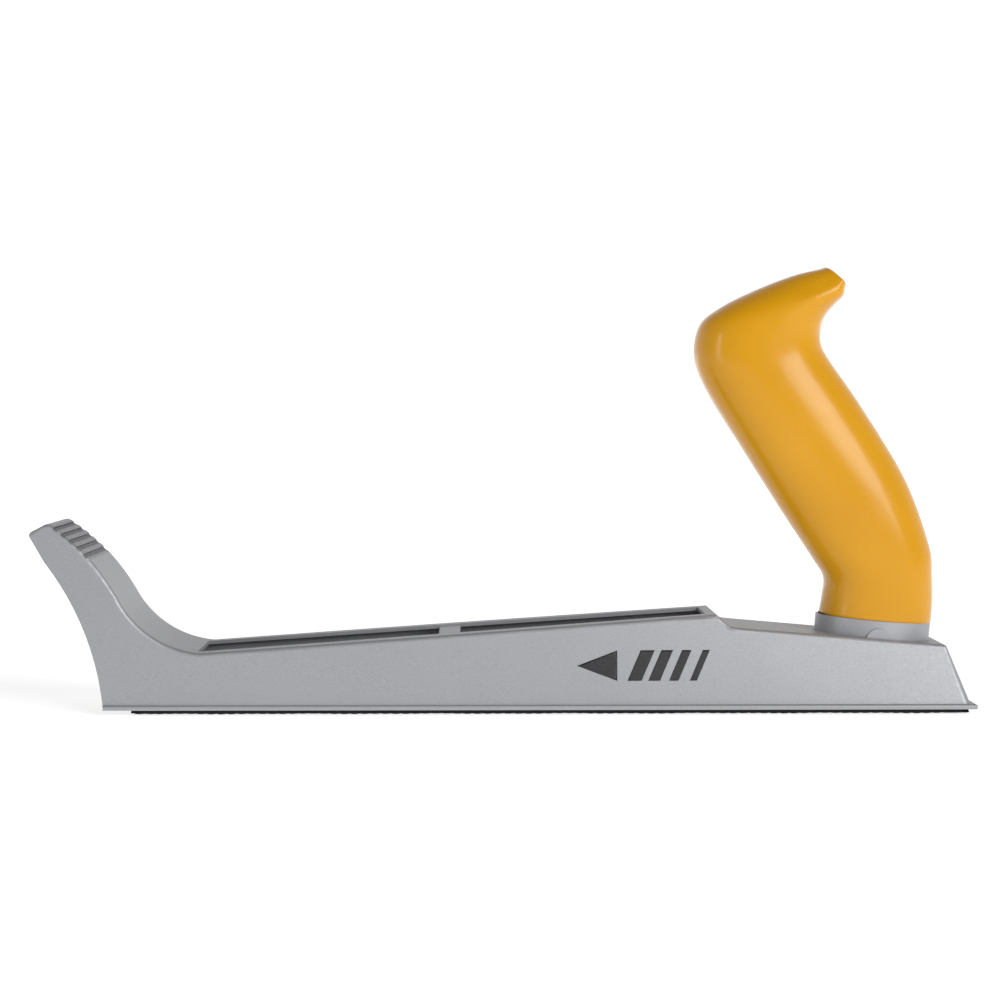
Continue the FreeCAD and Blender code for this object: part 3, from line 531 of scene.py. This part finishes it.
def blade_profile():
    """The blade's edge, bent up: (distance outwards, height) from the flat sheet."""
    profile = [(0.0, 0.0)]
    for step in range(1, BEND_STEPS + 1):
        angle = math.pi / 2 * step / BEND_STEPS
        profile.append((BEND * math.sin(angle), BEND * (1 - math.cos(angle))))
    profile.append((BEND, BLADE_HIGH.z - SHEET_LOW - SHEET))
    return profile


def edge_bead(x):
    """How far the long edge's pressed beads stand down at a place along the blade."""
    beads = 0.5 - 0.5 * math.cos(2 * math.pi * x / TOOTH_X)
    uneven = 0.72 + 0.28 * math.sin(x / (4.1 * MM)) * math.sin(x / (11.3 * MM))
    return BEAD * uneven * (0.45 + 0.55 * beads)


def build_blade():
    """The toothed sheet, its upturned long edges and its bent-up ends."""
    length = BLADE_HIGH.x - BLADE_LOW.x
    middle = (BLADE_HIGH.x + BLADE_LOW.x) / 2
    half = BLADE_HIGH.y - BEND
    columns = int((length - END_MARGIN) / TOOTH_X)
    rows = int(2 * (half - SIDE_MARGIN) / TOOTH_Y)
    start = middle - columns * TOOTH_X / 2
    field_half = rows * TOOTH_Y / 2
    points, faces = [], []

    def add(more_points, more_faces):
        offset = len(points)
        points.extend(more_points)
        faces.extend(tuple(index + offset for index in face) for face in more_faces)

    def patch(xs, ys):
        add([Vector((x, y, SHEET_LOW)) for x in xs for y in ys],
            grid_faces(len(xs), len(ys)))

    quarter = TOOTH_Y / CELL_ROWS
    for column in range(columns):
        shifted = column % 2
        count = rows - shifted
        x = start + (column + 0.5) * TOOTH_X
        xs = [x + (step / CELL_COLUMNS - 0.5) * TOOTH_X for step in range(CELL_COLUMNS + 1)]
        low = -field_half + (TOOTH_Y / 2 if shifted else 0)
        for row in range(count):
            add(*tooth_cell(Vector((x, low + (row + 0.5) * TOOTH_Y))))
        if shifted:
            patch(xs, [-field_half, -field_half + quarter, low])
            patch(xs, [field_half - 2 * quarter, field_half - quarter, field_half])
        patch(xs, [-half, -field_half])
        patch(xs, [field_half, half])

    ys = [-half] + [-field_half + step * quarter for step in range(CELL_ROWS * rows + 1)] + [half]
    end = start + columns * TOOTH_X
    flat_start, flat_end = BLADE_LOW.x + END_RAMP, BLADE_HIGH.x - END_RAMP
    patch([flat_start, (flat_start + start) / 2, start], ys)
    patch([end, (flat_end + end) / 2, flat_end], ys)
    for edge_x, outer in ((flat_start, BLADE_LOW.x), (flat_end, BLADE_HIGH.x)):
        strip = [Vector((edge_x + (outer - edge_x) * step / END_STEPS, y,
                         SHEET_LOW + END_RISE * (step / END_STEPS) ** 2))
                 for step in range(END_STEPS + 1) for y in ys]
        add(strip, grid_faces(END_STEPS + 1, len(ys)))

    edge_xs = sorted({round(x, 7) for x in
                      [start + column * TOOTH_X + step / CELL_COLUMNS * TOOTH_X
                       for column in range(columns) for step in range(CELL_COLUMNS + 1)]
                      + [(flat_start + start) / 2, flat_start, (flat_end + end) / 2, flat_end]})
    profile = blade_profile()
    for side in (-1, 1):
        wall = [Vector((x, side * (half + out), SHEET_LOW + up))
                for x in edge_xs for out, up in profile]
        add(wall, grid_faces(len(edge_xs), len(profile)))

    for point in points:
        if abs(point.y) > half - BEND / 2 and point.z < SHEET_LOW + BEND / 2:
            point.z -= edge_bead(point.x)

    mesh = mesh_of("blade", points, faces)
    if mesh.polygons[0].normal.z > 0:
        mesh.flip_normals()
    blade = piece("blade_sheet", mesh, "frame", "blade_black", ["rasp_blade"])
    thicken = blade.modifiers.new("sheet", "SOLIDIFY")
    thicken.thickness = SHEET
    thicken.offset = -1
    return blade


# ---------------------------------------------------------------- the spring

def build_spring():
    """The hook's return spring, a real coil in place of the CAD sleeve."""
    low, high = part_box("hook_return_spring")
    wire = 0.45 * MM
    radius = (high.z - low.z) / 2 - wire
    axis_z = (high.z + low.z) / 2
    turns, around, steps = 5.0, 12, 36
    length = high.x - low.x - 2 * wire
    rings = []
    for step in range(int(turns * steps) + 1):
        share = step / (turns * steps)
        closed = 0.12
        squeezed = min(1.0, max(0.0, (share - closed) / (1 - 2 * closed)))
        x = low.x + wire + length * (0.92 * squeezed + 0.08 * share)
        angle = 2 * math.pi * turns * share
        outward = Vector((0, math.cos(angle), math.sin(angle)))
        centre = Vector((x, 0, axis_z)) + outward * radius
        rings.append([centre + outward * (wire * math.cos(turn))
                      + Vector((1, 0, 0)) * (wire * math.sin(turn))
                      for turn in (2 * math.pi * k / around for k in range(around))])
    points, faces = loft(rings)
    spring = piece("return_coil", mesh_of("coil", points, faces), "frame", "spring_steel",
                   ["hook_return_spring"])
    spring.parent = None
    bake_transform(spring)
    return spring


# ---------------------------------------------------------------- the printed mark

INK_THICKNESS, INK_PROUD = 0.05 * MM, 0.03 * MM


def near_side():
    """Finds the casting's near side, straight ahead along +Y."""
    casting = frame["nodes"]["body_casting"].data
    tree = BVHTree.FromPolygons([v.co for v in casting.vertices],
                                [p.vertices for p in casting.polygons])

    def touch(x, z, proud):
        place, _, _, _ = tree.ray_cast(Vector((x, -0.1, z)), Vector((0, 1, 0)))
        return place + Vector((0, -1, 0)) * proud

    return touch


def build_mark():
    """A plain direction arrow with slanted bars, printed on the near side."""
    touch = near_side()
    points, faces = [], []

    def panel(corners, steps=10):
        """A four-cornered patch laid on the side; corners run round it."""
        a, b, c, d = (Vector(corner) for corner in corners)
        offset = len(points)
        for i in range(steps + 1):
            for j in range(steps + 1):
                u, v = i / steps, j / steps
                flat = a.lerp(b, u).lerp(d.lerp(c, u), v)
                points.append(touch(flat.x, flat.y, INK_PROUD))
        for i in range(steps):
            for j in range(steps):
                k = offset + i * (steps + 1) + j
                faces.append((k, k + steps + 1, k + steps + 2, k + 1))

    centre_x, centre_z, height = 40.0 * MM, 14.6 * MM, 9.0 * MM
    low, high = centre_z - height / 2, centre_z + height / 2
    lean = 4.0 * MM
    for index in range(4):
        left = centre_x - 3 * MM + index * 6.2 * MM
        width = (4.2 - 0.7 * index) * MM
        panel([(left, low), (left + width, low), (left + width + lean, high),
               (left + lean, high)])
    tip_x, back_x = centre_x - 18.0 * MM, centre_x - 6.0 * MM
    panel([(tip_x, centre_z), (back_x, low), (back_x, centre_z), (back_x, high)])
    mark = piece("direction_mark", mesh_of("mark", points, faces), "frame", "black_screw",
                 material=print_ink())
    thicken = mark.modifiers.new("ink", "SOLIDIFY")
    thicken.thickness = INK_THICKNESS
    thicken.offset = 0
    return mark


# ---------------------------------------------------------------- scene

def dress_cad():
    """Give every CAD node that still shows its procedural material."""
    slots = {entry["node"]: entry["material_slot"] for entry in frame["record"]["subparts"]}
    for name, thing in frame["nodes"].items():
        thing.data.materials.clear()
        thing.data.materials.append(MATERIALS[slots[name]])


def light(name, place, aim, power, size):
    """A rectangular softbox aimed at a point."""
    data = bpy.data.lights.new(name, "AREA")
    data.energy = power
    data.shape = "RECTANGLE"
    data.size, data.size_y = size
    lamp = bpy.data.objects.new(name, data)
    lamp.location = place
    lamp.rotation_euler = (Vector(aim) - Vector(place)).to_track_quat("-Z", "Y").to_euler()
    bpy.context.scene.collection.objects.link(lamp)
    return lamp


def build_stage():
    """A pale floor, soft lights and a pale world."""
    size = 6.0
    mesh = mesh_of("floor", [(-size, -size, 0), (size, -size, 0), (size, size, 0),
                             (-size, size, 0)], [(0, 1, 2, 3)], smooth=False)
    floor = bpy.data.objects.new("floor", mesh)
    bpy.context.scene.collection.objects.link(floor)
    mesh.materials.append(paper_floor())
    floor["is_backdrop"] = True

    build_world()
    light("key_box", (1.24, -1.62, 0.98), (0.04, 0, 0.07), 31.0, (1.20, 1.20))
    light("left_strip", (-1.0, -0.70, 0.30), (0, 0, 0.03), 1.6, (0.20, 0.60))


def build_world():
    """A pale surround: white behind the work, dimmer in front and overhead."""
    world = bpy.data.worlds.new("studio")
    world.use_nodes = True
    tree = world.node_tree
    background = tree.nodes["Background"]
    direction = tree.nodes.new("ShaderNodeTexCoord").outputs["Generated"]
    split = tree.nodes.new("ShaderNodeSeparateXYZ")
    tree.links.new(direction, split.inputs["Vector"])
    levels = []
    for axis, low, high, start, end in (("Y", -0.2, 0.6, FRONT_LEVEL, 1.0),
                                        ("Z", 0.25, 0.85, 1.0, TOP_LEVEL)):
        level = tree.nodes.new("ShaderNodeMapRange")
        for name, value in zip(("From Min", "From Max", "To Min", "To Max"),
                               (low, high, start, end)):
            level.inputs[name].default_value = value
        tree.links.new(split.outputs[axis], level.inputs["Value"])
        levels.append(level.outputs["Result"])
    product = tree.nodes.new("ShaderNodeMath")
    product.operation = "MULTIPLY"
    for socket, level in zip(product.inputs, levels):
        tree.links.new(level, socket)
    tree.links.new(product.outputs["Value"], background.inputs["Strength"])
    background.inputs["Color"].default_value = (1.02, 1.02, 1.02, 1)
    bpy.context.scene.world = world


def build_camera():
    """The camera in front of the near side, a little above the work."""
    data = bpy.data.cameras.new("camera")
    data.sensor_width = 36.0
    data.lens = 83.6
    camera = bpy.data.objects.new("camera", data)
    camera.location = (-9.6 * MM, -707.5 * MM, 92.9 * MM)
    down, right = math.radians(2.41), math.radians(0.723)
    camera.rotation_euler = (math.pi / 2 - down, 0, -right)
    data.clip_start = 0.01
    bpy.context.scene.collection.objects.link(camera)
    bpy.context.scene.camera = camera


def write_sizes():
    """Work out the CAD box and the visual model's box; the result is not kept."""
    boxes = {"cad": CAD_BOX, "visual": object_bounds()}
    {name: [list(corner) for corner in box] for name, box in boxes.items()}


bpy.context.scene.view_settings.view_transform = "Standard"
dress_cad()
build_grip()
build_blade()
build_spring()
build_mark()
build_stage()
build_camera()
write_sizes()
